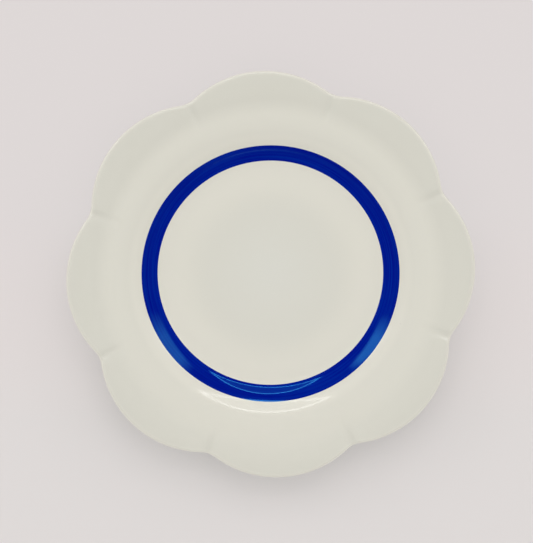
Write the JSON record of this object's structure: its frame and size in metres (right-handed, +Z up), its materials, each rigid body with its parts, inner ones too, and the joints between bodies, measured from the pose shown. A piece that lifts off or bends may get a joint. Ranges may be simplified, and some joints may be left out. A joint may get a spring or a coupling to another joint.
{
  "type": "scalloped dessert plate",
  "caption": "Round glazed porcelain dessert plate with a scalloped petal rim, a plain blue band round the well and a low foot ring; holds one portion of food.",
  "frame": {"origin": "middle of the foot ring's bare land, in the plane that the plate stands on", "axes": "+Z up through the plate's axis, towards the face; +X through the middle of one petal, +Y through the middle of another"},
  "size_m": [0.215, 0.215, 0.0205],
  "materials": {
    "porcelain": "bare fired porcelain, matt and fine-grained",
    "glaze": "clear gloss glaze over ivory-white porcelain",
    "cobalt": "deep cobalt blue enamel, fired in, gloss"
  },
  "bodies": {
    "root": {"porcelain_body": "porcelain", "glaze_coat": "glaze", "foot_recess_glaze": "glaze", "blue_band": "cobalt"}
  },
  "joints": []
}
